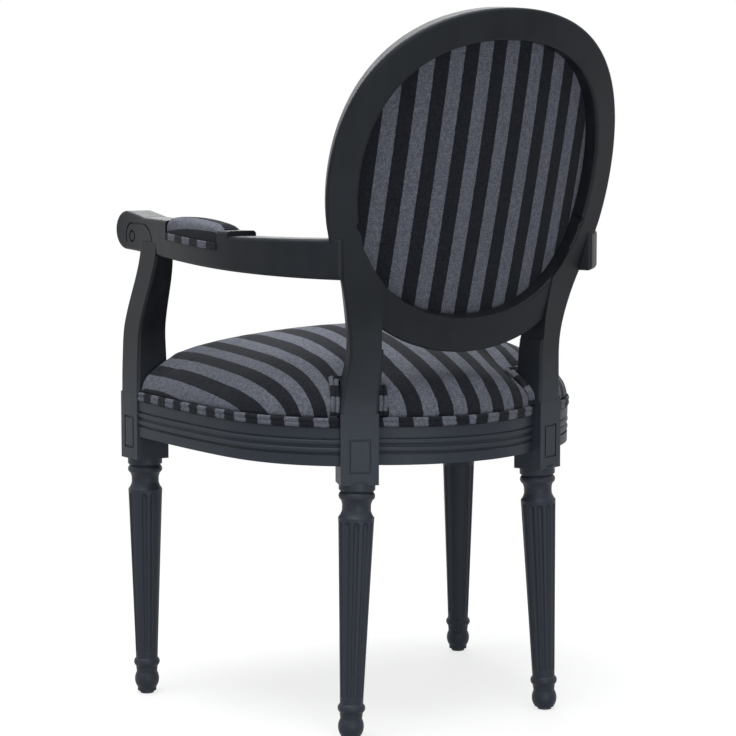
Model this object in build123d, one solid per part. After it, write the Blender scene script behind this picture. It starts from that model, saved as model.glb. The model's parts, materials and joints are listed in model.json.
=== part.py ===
from build123d import *
import math
import os

# Sizes are in millimetres and angles in degrees. Front is -Y, the sitter's left is +X, up is +Z.
# Left-hand pieces are drawn and mirrored. The finished chair is centred on its footprint at the end.

# Front legs: place of the axis, and the square block at the top
FRONT_LEG_X = 276.0
FRONT_LEG_Y = -200.0
FRONT_BLOCK = 51.0

# Rear legs: place of the axis at the block, turn of the block in plan, and splay at the foot
REAR_LEG_X = 150.0
REAR_LEG_Y = 187.0
REAR_BLOCK_WIDTH = 52.5
REAR_BLOCK_DEPTH = 44.0
REAR_TURN = 22.0
REAR_SPLAY_X = 13.0
REAR_SPLAY_Y = 4.0

# Heights of the blocks, and the sunk border cut into their faces
BLOCK_BOTTOM = 350.0
BLOCK_TOP = 447.0
PANEL_MARGIN = 11.0
PANEL_LOW = 16.0
PANEL_HIGH = 63.0
PANEL_GROOVE = 3.0
PANEL_DEPTH = 2.0

# Turned legs: upper turnings from the block down, lower turnings from the foot up, as diameters
COLLAR_D = 50.0
COLLAR_HEIGHT = 8.0
QUIRK_D = 44.0
QUIRK_HEIGHT = 3.0
BEAD_D = 50.0
BEAD_HEIGHT = 11.0
NECK_D = 39.5
NECK_START = 29.0
NECK_END = 36.0
SHOULDER_D = 49.5
SHOULDER_DROP = 46.0
ANKLE_D = 32.0
ANKLE_RISE = 51.0
ANKLE_HEIGHT = 2.0
RING_D = 38.0
RING_HEIGHT = 12.0
BULB_QUIRK_D = 30.0
BULB_QUIRK_RISE = 28.0
BULB_D = 35.5
TOE_D = 27.5
TOE_RISE = 5.0
LEG_SINK = 3.0

# Flutes round the tapered shaft
FLUTE_COUNT = 12
FLUTE_TOP_R = 4.6
FLUTE_FOOT_R = 2.9
FLUTE_MARGIN = 9.0
FLUTE_STAND_OFF = 1.6

# Nail glides under the feet
GLIDE_D = 20.0
GLIDE_HEIGHT = 4.0
GLIDE_NAIL_D = 3.0
GLIDE_NAIL_LENGTH = 16.0

# Seat rails: height, thickness, plan of their outer face and fall towards the back
RAIL_BOTTOM = 381.0
RAIL_FACE_TOP = 432.0
RAIL_TOP = 446.0
RAIL_THICKNESS = 28.0
RAIL_REBATE = 6.0
RAIL_REVEAL = 2.5
SEAT_FALL = 1.3
FRONT_BOW = 45.0
FRONT_CORNER = 14.0
SIDE_KNEE_X = 279.0
SIDE_KNEE_Y = 45.0
SIDE_BULGE = 6.0
SIDE_END_ALONG = 10.0
SIDE_END_BACK = 17.0
BACK_END_ALONG = 20.0
BACK_END_BACK = 7.5
BACK_BOW_Y = 243.0
BACK_DOWEL_FORWARD = 12.0

# Reeded band on the face of the rails
FASCIA_LOW = 14.0
REED_COUNT = 2
REED_HEIGHT = 8.5
REED_GAP = 2.2
REED_DEPTH = 2.4
REED_SWELL = 0.6

# Back ring: centre of the rear face, recline, bend across, inner radius and section
BACK_Y = 286.0
BACK_Z = 758.0
BACK_RECLINE = 14.5
BACK_BEND = 674.0
BACK_RADIUS = 196.0
BACK_SQUARENESS = 0.0185
FRAME_WIDTH = 44.0
FRAME_DEPTH = 34.0
FRAME_TAPER = 6.0
FRAME_ROUND = 4.0
LOWER_EXTRA = 6.0
CREST_JOINT = -18.0
CREST_STATIONS = 25
LOWER_STATIONS = 9
LOWER_REACH = 52.0

# Uprights between block and ring: section at the foot, points of the centre line, entry into the ring
UPRIGHT_FOOT_WIDTH = 51.5
UPRIGHT_FOOT_DEPTH = 43.0
UPRIGHT_LEAD = 24.0
SHIN_HEIGHT = 490.0
SHIN_X = 147.5
SHIN_Y = 191.5
WAIST_HEIGHT = 535.0
WAIST_X = 145.5
WAIST_Y = 198.0
FLARE_HEIGHT = 577.0
FLARE_X = 153.0
FLARE_Y = 202.0
RING_ENTRY = -31.0
UPRIGHT_STATIONS = 9
UPRIGHT_RING_STATIONS = 4

# Joint with the lower back rail: its plane, how far the upright fills out to it, and from where up
LOWER_JOINT_X = 124.6
LOWER_JOINT_TURN = 19.0
CHEEK_REACH = 18.0
CHEEK_START = 0.4
CHEEK_TRIM = 0.2
LOWER_DOWEL_RISE = 50.0

# Arm posts: section at the foot and under the arm, and the double bend that sets the top back
POST_FOOT_WIDTH = 50.0
POST_TOP_WIDTH = 26.0
POST_TAPER = 1.5
POST_DEPTH = 53.0
POST_BACK = 1.0
POST_LEAN = 42.0
POST_BEND_LOW = 522.0
POST_BEND_HIGH = 660.0
POST_STATIONS = 11

# Arms: plan of the outer face, heights along the length, scroll and recess for the pad
ARM_WIDTH = 44.0
ARM_REAR_X = 204.0
ARM_REAR_Y = 238.0
ARM_BEND_X = 251.0
ARM_BEND_Y = 188.0
ARM_SWELL_X = 290.0
ARM_SWELL_Y = 95.0
ARM_WIDEST_X = 298.0
ARM_WIDEST_Y = -20.0
ARM_FRONT_X = 287.0
ARM_CURVE_STEPS = 8
ARM_UNDER_REAR = 630.0
ARM_UNDER_FRONT = 652.3
ARM_TOP_REAR = 684.6
SCROLL_R = 28.0
SCROLL_Y = -242.5
SCROLL_FALL = 8.0
NAPE_Y = -184.0
NAPE_HEIGHT = 700.5
EYE_Y = -219.0
EYE_HEIGHT = 672.5
EYE_R = 9.0
VOLUTE_R = 19.0
VOLUTE_RUN = 36.0
VOLUTE_TAIL = 36.0
VOLUTE_GROOVE = 2.6
SCROLL_DEPTH = 2.0
PAD_FRONT_Y = -98.0
PAD_REAR_Y = 60.0
PAD_SEAT_FRONT = 672.0
PAD_SEAT_REAR = 664.2
PAD_LIP_FRONT = 699.5
STEP_LENGTH = 24.0
STEP_RISE = 6.8
ARM_ROUND = 5.0
ARM_JOINT_ANGLE = -27.0

# Upholstery: fabric, clearances, seat crown, back pad and arm pads
FABRIC = 1.6
SOFT_GAP = 0.3
SEAT_CROWN = 549.0
SEAT_BULGE = 2.0
SEAT_BULGE_RISE = 10.0
SEAT_CROWN_STEPS = 13
SEAT_CROWN_SPAN = 80.0
SEAT_SLOPE = 1.4
SEAT_SHOULDER = 1.2
WELT_HEIGHT = 13.4
WELT_DEPTH = 3.0
WELT_SWELL = 2.6
WEB_WIDTH = 50.0
WEB_THICKNESS = 2.0
WEB_LONG_COUNT = 4
WEB_CROSS_COUNT = 3
WEB_PITCH = 92.0
WEB_MARGIN = 10.0
DUST_COVER = 1.0
DUST_MARGIN = 7.0
BACK_GAP = 1.4
PANEL_RECESS = 20.0
LINER_THICKNESS = 2.0
PANEL_TO_LINER = 1.0
BACK_CROWN_RADIUS = 700.0
BACK_CROWN = 34.0
BACK_PAD_ROUND = 12.0
BACK_OUTLINE_STEP = 15
COVER_TUCK = 8.0
BACK_WELT_WIDTH = 12.0
BACK_WELT_DEPTH = 5.0
BACK_WELT_STATIONS = 13
ARM_PAD_HEIGHT = 39.2
ARM_PAD_ARCH = 600.0
ARM_PAD_ROUND = 38.0
ARM_PAD_FORWARD = 21.0
ARM_PAD_END = 12.0
ARM_WELT_HEIGHT = 10.0
ARM_WELT_STAND = 1.6
ARM_PAD_INSET = 1.4

# Hidden joinery: dowels, corner blocks and their screws
JOINT_GAP = 0.1
BORE_GAP = 0.15
BORE_END = 1.0
RAIL_DOWEL_D = 10.0
RAIL_DOWEL_LENGTH = 40.0
RAIL_DOWEL_LOW = 13.0
RAIL_DOWEL_PITCH = 24.0
FRAME_DOWEL_D = 8.0
FRAME_DOWEL_LENGTH = 40.0
FRAME_DOWEL_PITCH = 18.0
POST_DOWEL_D = 10.0
POST_DOWEL_LENGTH = 36.0
ARM_DOWEL_D = 10.0
ARM_DOWEL_LENGTH = 40.0
CORNER_BLOCK_HEIGHT = 38.0
CORNER_BLOCK_RISE = 5.0
CORNER_BLOCK_REACH = 112.0
REAR_CORNER_WIDTH = 110.0
REAR_CORNER_DEPTH = 28.0
SCREW_D = 5.0
SCREW_HEAD_D = 10.0
SCREW_HEAD_HEIGHT = 3.0
SCREW_LENGTH = 48.0

RECLINE = math.radians(BACK_RECLINE)
UP = Vector(0, 0, 1)


def mirrored(shape):
    """The right-hand copy of a left-hand piece."""
    return mirror(shape, about=Plane.YZ)


def both(shape):
    """A left-hand piece and its right-hand copy, as separate solids."""
    return [shape, mirrored(shape)]


# Turned legs

def leg_outline(length):
    """Half profile of the turned leg: radius against height, with the block's underside at zero."""
    bead_top = -COLLAR_HEIGHT - QUIRK_HEIGHT
    bead_foot = bead_top - BEAD_HEIGHT
    ring_top = -length + ANKLE_RISE - ANKLE_HEIGHT
    ring_foot = ring_top - RING_HEIGHT
    quirk = -length + BULB_QUIRK_RISE
    toe = -length + TOE_RISE
    return Curve() + [
        Polyline((0, LEG_SINK), (COLLAR_D / 2, LEG_SINK), (COLLAR_D / 2, -COLLAR_HEIGHT),
                 (QUIRK_D / 2, bead_top)),
        ThreePointArc((QUIRK_D / 2, bead_top), (BEAD_D / 2, (bead_top + bead_foot) / 2),
                      (QUIRK_D / 2, bead_foot)),
        ThreePointArc((QUIRK_D / 2, bead_foot), ((QUIRK_D + 2 * NECK_D) / 6, (bead_foot - NECK_START) / 2),
                      (NECK_D / 2, -NECK_START)),
        Line((NECK_D / 2, -NECK_START), (NECK_D / 2, -NECK_END)),
        ThreePointArc((NECK_D / 2, -NECK_END), ((2 * NECK_D + SHOULDER_D) / 6, -(NECK_END + SHOULDER_DROP) / 2),
                      (SHOULDER_D / 2, -SHOULDER_DROP)),
        Line((SHOULDER_D / 2, -SHOULDER_DROP), (ANKLE_D / 2, -length + ANKLE_RISE)),
        Line((ANKLE_D / 2, -length + ANKLE_RISE), (ANKLE_D / 2, ring_top)),
        ThreePointArc((ANKLE_D / 2, ring_top), (RING_D / 2, (ring_top + ring_foot) / 2),
                      (ANKLE_D / 2, ring_foot)),
        Polyline((ANKLE_D / 2, ring_foot), (BULB_QUIRK_D / 2, quirk)),
        ThreePointArc((BULB_QUIRK_D / 2, quirk), (BULB_D / 2, (quirk + toe) / 2), (TOE_D / 2, toe)),
        Polyline((TOE_D / 2, toe), (TOE_D / 2, -length), (0, -length), (0, LEG_SINK)),
    ]


def flutes(length):
    """Tapered round-ended cutters, evenly spaced round the shaft."""
    top = -SHOULDER_DROP - FLUTE_MARGIN
    foot = -length + ANKLE_RISE + FLUTE_MARGIN
    slope = (SHOULDER_D - ANKLE_D) / 2 / (length - ANKLE_RISE - SHOULDER_DROP)
    top_r = SHOULDER_D / 2 - FLUTE_MARGIN * slope + FLUTE_STAND_OFF
    foot_r = ANKLE_D / 2 + FLUTE_MARGIN * slope + FLUTE_STAND_OFF
    start = Vector(foot_r, 0, foot)
    end = Vector(top_r, 0, top)
    run = end - start
    axis = Plane(origin=start, x_dir=(0, 1, 0), z_dir=run)
    shaft = axis * Cone(FLUTE_FOOT_R, FLUTE_TOP_R, run.length, align=(Align.CENTER, Align.CENTER, Align.MIN))
    cutter = shaft + Pos(start) * Sphere(FLUTE_FOOT_R) + Pos(end) * Sphere(FLUTE_TOP_R)
    return [Rot(0, 0, turn * 360 / FLUTE_COUNT) * cutter for turn in range(FLUTE_COUNT)]


def turned_leg(length):
    """Turned and fluted leg below its block."""
    face = make_face(Plane.XZ * leg_outline(length))
    return revolve(face, Axis.Z) - flutes(length)


def block_panel(width):
    """Sunk rectangular border on a block face that looks along +Y, cut inwards from y = 0."""
    high = BLOCK_BOTTOM + PANEL_HIGH
    low = BLOCK_BOTTOM + PANEL_LOW
    outer = Box(width - 2 * PANEL_MARGIN, 2 * PANEL_DEPTH, high - low)
    inner = Box(width - 2 * PANEL_MARGIN - 2 * PANEL_GROOVE, 2 * PANEL_DEPTH, high - low - 2 * PANEL_GROOVE)
    return Pos(0, 0, (low + high) / 2) * (outer - inner)


def glide():
    """Nail glide: a flat-footed button with a nail."""
    button = Cylinder(GLIDE_D / 2, GLIDE_HEIGHT, align=(Align.CENTER, Align.CENTER, Align.MIN))
    button = fillet(button.edges().sort_by(Axis.Z)[0], GLIDE_HEIGHT / 4)
    nail = Pos(0, 0, GLIDE_HEIGHT) * Cylinder(GLIDE_NAIL_D / 2, GLIDE_NAIL_LENGTH,
                                              align=(Align.CENTER, Align.CENTER, Align.MIN))
    return button + nail


def glide_bore():
    """Hole for the nail of a glide."""
    return Pos(0, 0, GLIDE_HEIGHT) * Cylinder(GLIDE_NAIL_D / 2 + BORE_GAP, GLIDE_NAIL_LENGTH + BORE_END,
                                              align=(Align.CENTER, Align.CENTER, Align.MIN))


FRONT_FOOT = Pos(FRONT_LEG_X, FRONT_LEG_Y, 0)
REAR_FOOT = Pos(REAR_LEG_X + REAR_SPLAY_X, REAR_LEG_Y + REAR_SPLAY_Y, 0)
REAR_FRAME = Pos(REAR_LEG_X, REAR_LEG_Y, 0) * Rot(0, 0, -REAR_TURN)


def front_block(grow=0.0, top=BLOCK_TOP):
    """Square block of a front leg, or a larger copy to cut neighbours with."""
    side = FRONT_BLOCK + 2 * grow
    low = BLOCK_BOTTOM - grow
    return Pos(FRONT_LEG_X, FRONT_LEG_Y, (low + top) / 2) * Box(side, side, top - low)


def rear_block(grow=0.0, top=BLOCK_TOP):
    """Turned-in block of a rear leg, or a larger copy to cut neighbours with."""
    low = BLOCK_BOTTOM - grow
    block = Box(REAR_BLOCK_WIDTH + 2 * grow, REAR_BLOCK_DEPTH + 2 * grow, top - low)
    return REAR_FRAME * Pos(0, 0, (low + top) / 2) * block


# Back ring: a flat outline wrapped round an upright cylinder and leaned back

def ring_radius(angle):
    """Inner radius of the ring at an angle from the sitter's left, a little fuller at the diagonals."""
    return BACK_RADIUS * (1 - BACK_SQUARENESS * math.cos(math.radians(4 * angle)))


def back_point(across, up, depth):
    """Point of the back at a wrapped place on its rear face and a depth in front of it."""
    turn = across / BACK_BEND
    side = (BACK_BEND - depth) * math.sin(turn)
    out = (BACK_BEND - depth) * math.cos(turn) - BACK_BEND
    y = BACK_Y + up * math.sin(RECLINE) + out * math.cos(RECLINE)
    return Vector(side, y, BACK_Z + up * math.cos(RECLINE) - out * math.sin(RECLINE))


def back_axes(across):
    """Directions across, up and out of the rear face at a wrapped place."""
    turn = across / BACK_BEND
    sine, cosine = math.sin(turn), math.cos(turn)
    sideways = Vector(cosine, -sine * math.cos(RECLINE), sine * math.sin(RECLINE))
    upward = Vector(0, math.sin(RECLINE), math.cos(RECLINE))
    outward = Vector(sine, cosine * math.cos(RECLINE), -cosine * math.sin(RECLINE))
    return sideways, upward, outward


def ring_plane(angle, radius, depth):
    """Section plane of the ring at an angle: X away from the centre, Y out of the rear face."""
    turn = math.radians(angle)
    across = radius * math.cos(turn)
    sideways, upward, outward = back_axes(across)
    away = sideways * math.cos(turn) + upward * math.sin(turn)
    place = back_point(across, radius * math.sin(turn), depth)
    return Plane(origin=place, x_dir=away, z_dir=away.cross(outward))


def frame_section(width, depth, taper):
    """Rounded section of the frame, narrower in front by the taper on its outer side."""
    corners = [(-width / 2, depth / 2), (width / 2, depth / 2), (width / 2 - taper, -depth / 2),
               (-width / 2, -depth / 2)]
    face = make_face(Polyline(*corners, close=True))
    return fillet(face.vertices(), FRAME_ROUND)


def ring_section(angle, width, grow=0.0):
    """Section of the ring at an angle."""
    plane = ring_plane(angle, ring_radius(angle) + width / 2, FRAME_DEPTH / 2)
    return plane * frame_section(width + 2 * grow, FRAME_DEPTH + 2 * grow, FRAME_TAPER)


def crest_rail():
    """Upper arc of the ring, from one joint over the top to the other."""
    sweep_angle = 180 - 2 * CREST_JOINT
    angles = [CREST_JOINT + sweep_angle * step / (CREST_STATIONS - 1) for step in range(CREST_STATIONS)]
    return loft([ring_section(angle, FRAME_WIDTH) for angle in angles])


def lower_joint_plane():
    """Upright plane where the lower back rail meets an upright: X away from the middle, Z up."""
    turn = math.radians(LOWER_JOINT_TURN)
    normal = (math.cos(turn), -math.sin(turn), 0)
    return Plane(origin=(LOWER_JOINT_X, WAIST_Y, WAIST_HEIGHT), x_dir=normal, z_dir=UP)


def lower_back_rail():
    """Lower arc of the ring, cut off square against both uprights."""
    sections = []
    for step in range(LOWER_STATIONS):
        angle = -90 - LOWER_REACH + 2 * LOWER_REACH * step / (LOWER_STATIONS - 1)
        extra = LOWER_EXTRA * math.sin(math.radians(angle)) ** 2
        sections.append(ring_section(angle, FRAME_WIDTH + extra))
    reach = 2 * BACK_RADIUS
    outside = lower_joint_plane() * Box(reach, reach, reach, align=(Align.MIN, Align.CENTER, Align.CENTER))
    return loft(sections) - outside - mirrored(outside)


def cheek(share):
    """How far an upright fills out on its inner side, at a share of its way from block to ring."""
    rise = max(0, (share - CHEEK_START) / (1 - CHEEK_START))
    return CHEEK_REACH * 27 / 4 * rise * rise * (1 - rise)


def upright(grow=0.0):
    """Upright from the rear block to the joint with the crest, as one bar that turns into the ring."""
    entry = ring_plane(RING_ENTRY, ring_radius(RING_ENTRY) + FRAME_WIDTH / 2, FRAME_DEPTH / 2)
    line = Spline((REAR_LEG_X, REAR_LEG_Y, BLOCK_TOP), (SHIN_X, SHIN_Y, SHIN_HEIGHT),
                  (WAIST_X, WAIST_Y, WAIST_HEIGHT), (FLARE_X, FLARE_Y, FLARE_HEIGHT), entry.origin,
                  tangents=[UP, entry.z_dir])
    turn = math.radians(REAR_TURN)
    block_out = Vector(math.sin(turn), math.cos(turn), 0)
    sections = []
    for step in range(UPRIGHT_STATIONS):
        share = step / UPRIGHT_STATIONS
        climb = line % share
        outward = block_out * (1 - share) + entry.y_dir * share
        plane = Plane(origin=line @ share, x_dir=outward.cross(climb), z_dir=climb)
        fill = cheek(share)
        width = FRAME_WIDTH + (UPRIGHT_FOOT_WIDTH - FRAME_WIDTH) * (1 - share) ** 2 + fill
        depth = FRAME_DEPTH + (UPRIGHT_FOOT_DEPTH - FRAME_DEPTH) * (1 - share)
        section = frame_section(width + 2 * grow, depth + 2 * grow, FRAME_TAPER * share)
        sections.append(plane * Pos(-fill / 2, 0, 0) * section)
    sections.insert(0, Pos(0, 0, -UPRIGHT_LEAD) * sections[0])
    for step in range(UPRIGHT_RING_STATIONS):
        angle = RING_ENTRY + (CREST_JOINT - RING_ENTRY) * step / (UPRIGHT_RING_STATIONS - 1)
        sections.append(ring_section(angle, FRAME_WIDTH, grow))
    below = Pos(REAR_LEG_X, REAR_LEG_Y, BLOCK_TOP) * Box(
        2 * REAR_BLOCK_WIDTH, 2 * REAR_BLOCK_WIDTH, BLOCK_TOP, align=(Align.CENTER, Align.CENTER, Align.MAX))
    return loft(sections) - below


# Legs with their blocks

def front_leg():
    """Front leg: turned shaft, block with sunk borders on its two outer faces, and nail hole."""
    shaft = Pos(FRONT_LEG_X, FRONT_LEG_Y, BLOCK_BOTTOM) * turned_leg(BLOCK_BOTTOM - GLIDE_HEIGHT)
    leg = front_block() + shaft
    half = FRONT_BLOCK / 2
    leg -= Pos(FRONT_LEG_X, FRONT_LEG_Y - half, 0) * block_panel(FRONT_BLOCK)
    leg -= Pos(FRONT_LEG_X + half, FRONT_LEG_Y, 0) * Rot(0, 0, 90) * block_panel(FRONT_BLOCK)
    return leg - FRONT_FOOT * glide_bore()


def rear_leg():
    """Rear leg: splayed turned shaft, block, upright and lower side of the ring in one piece."""
    length = BLOCK_BOTTOM + TOE_RISE
    lean = Vector(-REAR_SPLAY_X, -REAR_SPLAY_Y, BLOCK_BOTTOM)
    square = (1, 0, REAR_SPLAY_X / BLOCK_BOTTOM)
    axis = Plane(origin=(REAR_LEG_X, REAR_LEG_Y, BLOCK_BOTTOM), x_dir=square, z_dir=lean)
    shaft = axis * turned_leg(length - GLIDE_HEIGHT)
    floor = REAR_FOOT * Pos(0, 0, GLIDE_HEIGHT) * Box(
        COLLAR_D, COLLAR_D, COLLAR_D, align=(Align.CENTER, Align.CENTER, Align.MAX))
    half = REAR_BLOCK_DEPTH / 2
    leg = rear_block() + (shaft - floor) + upright()
    leg -= REAR_FRAME * Pos(0, half, 0) * block_panel(REAR_BLOCK_WIDTH)
    joint = lower_joint_plane()
    reach = FRAME_WIDTH + LOWER_EXTRA
    inside = Box(reach, 2 * reach, 2 * reach, align=(Align.MAX, Align.CENTER, Align.CENTER))
    leg -= joint * Pos(0, 0, reach) * inside
    return leg - back_plug(-CHEEK_TRIM) - REAR_FOOT * glide_bore()


# Seat rails

def tilted(shape):
    """The seat's slight fall to the back, about the middle of its rails."""
    return shape.rotate(Axis((0, 0, (RAIL_BOTTOM + RAIL_TOP) / 2), (1, 0, 0)), -SEAT_FALL)


def rear_place(along, back):
    """Point given across and out of the rear block, in plan."""
    turn = math.radians(REAR_TURN)
    x = REAR_LEG_X + along * math.cos(turn) + back * math.sin(turn)
    y = REAR_LEG_Y - along * math.sin(turn) + back * math.cos(turn)
    return x, y


def seat_curves(inset=0.0, z=0.0):
    """Front, side, corner and back curves of the seat, drawn in by an inset from the rail face."""
    half_width = FRONT_LEG_X + FRONT_BLOCK / 2 - RAIL_REVEAL
    front_middle = FRONT_LEG_Y - FRONT_BOW
    half_depth = (BACK_BOW_Y - front_middle) / 2
    centre_y = (BACK_BOW_Y + front_middle) / 2

    def place(x, y):
        return (x * (1 - inset / half_width), centre_y + (y - centre_y) * (1 - inset / half_depth), z)

    corner_x, corner_y = half_width, FRONT_LEG_Y - FRONT_CORNER
    bulge_x = (corner_x + SIDE_KNEE_X) / 2 + SIDE_BULGE
    bulge_y = (corner_y + SIDE_KNEE_Y) / 2
    side_end = rear_place(SIDE_END_ALONG, SIDE_END_BACK)
    back_end = rear_place(-BACK_END_ALONG, BACK_END_BACK)
    front = ThreePointArc(place(-corner_x, corner_y), place(0, front_middle), place(corner_x, corner_y))
    knee = place(SIDE_KNEE_X, SIDE_KNEE_Y)
    side_front = ThreePointArc(place(corner_x, corner_y), place(bulge_x, bulge_y), knee)
    side_rear = TangentArc(knee, place(*side_end), tangent=side_front % 1)
    corner = Line(place(*side_end), place(*back_end))
    back = ThreePointArc(place(*back_end), place(0, BACK_BOW_Y), place(-back_end[0], back_end[1]))
    return front, side_front, side_rear, corner, back


def seat_face(inset, z):
    """Whole outline of the seat at a height, as a face."""
    front, side_front, side_rear, corner, back = seat_curves(inset, z)
    flanks = [side_front, side_rear, corner]
    return make_face([front, *flanks, back, *[mirrored(edge) for edge in flanks]])


def seat_prism(inset, low, high):
    """Upright block with the seat's outline."""
    return extrude(seat_face(inset, low), high - low, dir=UP)


def along(path, outline):
    """Sweep an outline of (distance out of the rail face, height) edges along a curve of the seat."""
    tangent = path % 0
    plane = Plane(origin=path @ 0, x_dir=tangent.cross(UP), z_dir=-tangent)
    return sweep(plane * make_face(outline), path=path)


def rail_outline():
    """Section of a rail: plain fascias, reeds between them, and a rebate for the upholstery."""
    edges = []
    z = RAIL_BOTTOM + FASCIA_LOW
    edges.append(Polyline((-RAIL_THICKNESS, RAIL_BOTTOM), (0, RAIL_BOTTOM), (0, z), (-REED_DEPTH, z)))
    for reed in range(REED_COUNT):
        edges.append(Line((-REED_DEPTH, z), (-REED_DEPTH, z + REED_GAP)))
        z += REED_GAP
        edges.append(ThreePointArc((-REED_DEPTH, z), (REED_SWELL, z + REED_HEIGHT / 2),
                                   (-REED_DEPTH, z + REED_HEIGHT)))
        z += REED_HEIGHT
    edges.append(Polyline((-REED_DEPTH, z), (-REED_DEPTH, z + REED_GAP), (0, z + REED_GAP), (0, RAIL_FACE_TOP),
                          (-RAIL_REBATE, RAIL_FACE_TOP), (-RAIL_REBATE, RAIL_TOP),
                          (-RAIL_THICKNESS, RAIL_TOP), (-RAIL_THICKNESS, RAIL_BOTTOM)))
    return Curve() + edges


def corner_cut_outline():
    """Section of the room that a rail takes from a corner block."""
    low, high = RAIL_BOTTOM - RAIL_THICKNESS, RAIL_TOP + RAIL_THICKNESS
    inner = -RAIL_THICKNESS - JOINT_GAP
    return Polyline((inner, low), (RAIL_THICKNESS, low), (RAIL_THICKNESS, high), (inner, high), close=True)


def rail_paths():
    """Paths of the front, left side and back rails."""
    front, side_front, side_rear, corner, back = seat_curves()
    return front, Wire([side_front, side_rear]), back


def rail_blanks():
    """Front, left side and back rails before their ends are cut at the blocks."""
    return [tilted(along(path, rail_outline())) for path in rail_paths()]


def seat_notches(grow):
    """Straight-sided room for the blocks, posts and uprights where they stand in the seat."""
    side, depth = FRONT_BLOCK + 2 * grow, POST_DEPTH + 2 * grow
    post_heights = (BLOCK_TOP, WAIST_HEIGHT)
    post = loft([Pos(FRONT_LEG_X, post_place(z), z) * Rectangle(side, depth) for z in post_heights], ruled=True)
    stile_places = [(REAR_LEG_X, REAR_LEG_Y, BLOCK_TOP), (SHIN_X, SHIN_Y, SHIN_HEIGHT),
                    (WAIST_X, WAIST_Y, WAIST_HEIGHT)]
    room = Rot(0, 0, -REAR_TURN) * Rectangle(REAR_BLOCK_WIDTH + 2 * grow, REAR_BLOCK_DEPTH + 2 * grow)
    stile = loft([Pos(*place) * room for place in stile_places], ruled=True)
    return both(front_block(grow) + post) + both(rear_block(grow) + stile)


# Arm posts and arms

def post_place(z):
    """How far back the middle of an arm post lies at a height: upright, then a double bend."""
    share = (z - POST_BEND_LOW) / (POST_BEND_HIGH - POST_BEND_LOW)
    share = min(max(share, 0), 1)
    return FRONT_LEG_Y + POST_BACK + POST_LEAN * share * share * (3 - 2 * share)


def arm_post():
    """Curved post from the front block to just inside the arm."""
    sections = []
    top = ARM_UNDER_FRONT + SCROLL_R / 2
    for step in range(POST_STATIONS):
        share = step / (POST_STATIONS - 1)
        z = BLOCK_TOP + (top - BLOCK_TOP) * share
        width = POST_FOOT_WIDTH + (POST_TOP_WIDTH - POST_FOOT_WIDTH) * share ** POST_TAPER
        sections.append(Pos(FRONT_LEG_X, post_place(z), z) * RectangleRounded(width, POST_DEPTH, FRAME_ROUND))
    return loft(sections)


def arm_curve(inset):
    """Outer face of the arm in plan, from the back forwards, moved in by an inset."""
    face = Spline((ARM_REAR_X, ARM_REAR_Y), (ARM_BEND_X, ARM_BEND_Y), (ARM_SWELL_X, ARM_SWELL_Y),
                  (ARM_WIDEST_X, ARM_WIDEST_Y), (ARM_FRONT_X, SCROLL_Y - SCROLL_R - ARM_ROUND))
    shares = [step / ARM_CURVE_STEPS for step in range(ARM_CURVE_STEPS + 1)]
    return Spline(*[face @ share - UP.cross(face % share) * inset for share in shares])


def arm_slab(inset=0.0):
    """Upright slab with the arm's plan, drawn in on both sides by an inset."""
    outer = arm_curve(inset)
    inner = arm_curve(ARM_WIDTH - inset)
    plan = make_face([outer, Line(outer @ 1, inner @ 1), inner, Line(inner @ 0, outer @ 0)])
    return extrude(Pos(0, 0, ARM_UNDER_REAR - ARM_WIDTH) * plan, 4 * ARM_WIDTH, dir=UP)


def side_bar(face):
    """Bar with a side view given as a face of (depth, height), wide enough to cover an arm."""
    return extrude(Plane.YZ * face, 2 * ARM_WIDEST_X, dir=(1, 0, 0))


def arm_side(grow=0.0):
    """Side view of the arm: underside, scroll, nape, the line over the pad and the step behind it."""
    scroll_z = ARM_UNDER_FRONT + SCROLL_R
    under = ARM_UNDER_FRONT - grow
    step_top = ARM_TOP_REAR + STEP_RISE
    step_end = PAD_REAR_Y + STEP_LENGTH
    fall = math.radians(SCROLL_FALL)
    crown = (SCROLL_Y + SCROLL_R * math.sin(fall), scroll_z + SCROLL_R * math.cos(fall))
    return make_face([
        Line((ARM_REAR_Y, ARM_UNDER_REAR - grow), (SCROLL_Y, under)),
        ThreePointArc((SCROLL_Y, under), (SCROLL_Y - SCROLL_R - grow, scroll_z), crown),
        Polyline(crown, (NAPE_Y, NAPE_HEIGHT), (PAD_FRONT_Y, PAD_LIP_FRONT), (PAD_REAR_Y, step_top),
                 (step_end, step_top), (step_end, ARM_TOP_REAR), (ARM_REAR_Y, ARM_TOP_REAR),
                 (ARM_REAR_Y, ARM_UNDER_REAR - grow)),
    ])


def arm_blank(grow=0.0):
    """Arm sawn in plan and in side view, before its recess is cut and it is fitted to the upright."""
    return arm_slab() & side_bar(arm_side(grow))


def pad_recess():
    """Room for the pad in the top of the arm."""
    high = PAD_LIP_FRONT + ARM_WIDTH
    return side_bar(make_face(Polyline((PAD_FRONT_Y, PAD_SEAT_FRONT), (PAD_REAR_Y, PAD_SEAT_REAR),
                                       (PAD_REAR_Y, high), (PAD_FRONT_Y, high), close=True)))


def arm_body():
    """Arm with its long edges eased and the recess for the pad."""
    arm = arm_blank()
    long_edges = arm.edges().filter_by(lambda edge: edge.length > ARM_WIDTH + ARM_ROUND)
    return fillet(long_edges, ARM_ROUND) - pad_recess()


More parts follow.
